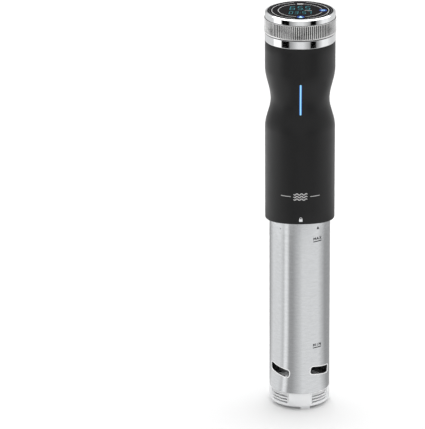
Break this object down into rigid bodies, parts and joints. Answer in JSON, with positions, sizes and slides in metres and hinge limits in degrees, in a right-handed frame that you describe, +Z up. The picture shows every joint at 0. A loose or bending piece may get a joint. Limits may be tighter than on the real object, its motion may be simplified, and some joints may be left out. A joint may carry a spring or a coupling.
{
  "type": "sous vide circulator",
  "caption": "Slim immersion circulator: knurled dial and round display on a soft-touch waisted body, twist-off steel tube with water slots, sprung rear pot clip.",
  "frame": {"origin": "centre of the boss under the bottom cap, in the plane that the feet stand on, on the stick's axis", "axes": "+Z up along the stick's axis, -Y to the front (display keys and light bar), +Y to the back (clip), +X to the right seen from the front"},
  "size_m": [0.068, 0.0845, 0.3974],
  "materials": {
    "soft_touch": "soft-touch satin",
    "polished_ring": "polished",
    "knurled_ring": "satin",
    "black_plastic": "moulded",
    "display_glass": "polished",
    "light_guide": "glowing",
    "brushed_tube": "brushed round the tube",
    "plain_steel": "satin",
    "clear_grey": "translucent",
    "soft_clear": "translucent",
    "rubber": "matt",
    "circuit_board": "solder resist",
    "grey_plastic": "moulded",
    "pale_plastic": "moulded",
    "blue_plastic": "moulded",
    "aluminium": "extruded",
    "bronze": "sintered",
    "windings": "lacquered",
    "heater_steel": "heat-tinted"
  },
  "bodies": {
    "main": {"body_shell": "soft_touch", "lower_trim_ring": "polished_ring", "head_core": "black_plastic", "dial_glide": "black_plastic", "display_bezel": "polished_ring", "display_lens": "display_glass", "lens_gasket": "rubber", "display_board": "circuit_board", "digit_module": "grey_plastic", "touch_electrodes": "rubber", "buzzer": "black_plastic", "display_screws": "plain_steel", "light_bar": "light_guide", "light_bar_board": "circuit_board", "inner_chassis": "grey_plastic", "head_screws": "plain_steel", "power_board": "circuit_board", "control_board": "circuit_board", "mains_transformer": "grey_plastic", "filter_capacitors": "blue_plastic", "triac_heat_sink": "aluminium", "relay": "blue_plastic", "terminal_block": "pale_plastic", "motor_can": "plain_steel", "motor_plate": "plain_steel", "motor_screws": "plain_steel", "heater_flange": "plain_steel", "flange_screws": "plain_steel", "flange_seal": "rubber", "shaft_seal": "rubber", "upper_bearing": "plain_steel", "shaft_guide": "plain_steel", "lower_bushing": "bronze", "heater_coil": "heater_steel", "heater_pins": "plain_steel", "temperature_probe": "plain_steel", "level_electrodes": "plain_steel", "bayonet_socket": "black_plastic", "cord_gland": "rubber", "clip_bracket": "black_plastic", "bracket_screws": "plain_steel", "clip_pin": "plain_steel", "clip_spring": "plain_steel"},
    "dial": {"dial_ring": "knurled_ring", "dial_magnets": "plain_steel"},
    "impeller": {"motor_rotor": "windings", "shaft_coupling": "rubber", "drive_shaft": "plain_steel", "impeller": "grey_plastic"},
    "tube": {"steel_tube": "brushed_tube", "tube_collar": "black_plastic", "impeller_housing": "black_plastic", "bottom_cap": "clear_grey", "cap_screws": "plain_steel", "foot_pads": "soft_clear"},
    "clip": {"clip_lever": "soft_touch", "jaw_pad": "rubber"}
  },
  "joints": [
    {"name": "dial_spin", "type": "hinge", "parent": "main", "child": "dial", "pos_m": [0, 0, 0.382], "axis": [0, 0, 1], "continuous": true},
    {"name": "impeller_spin", "type": "hinge", "parent": "main", "child": "impeller", "pos_m": [0, 0, 0.039], "axis": [0, 0, 1], "continuous": true},
    {"name": "tube_twist", "type": "hinge", "parent": "main", "child": "tube", "pos_m": [0, 0, 0.206], "axis": [0, 0, 1], "range_deg": [-38, 0]},
    {"name": "clip_hinge", "type": "hinge", "parent": "main", "child": "clip", "pos_m": [0, 0.0425, 0.262], "axis": [1, 0, 0], "range_deg": [0, 7], "stiffness_Nm_per_rad": 3, "springref_deg": -6.88}
  ]
}
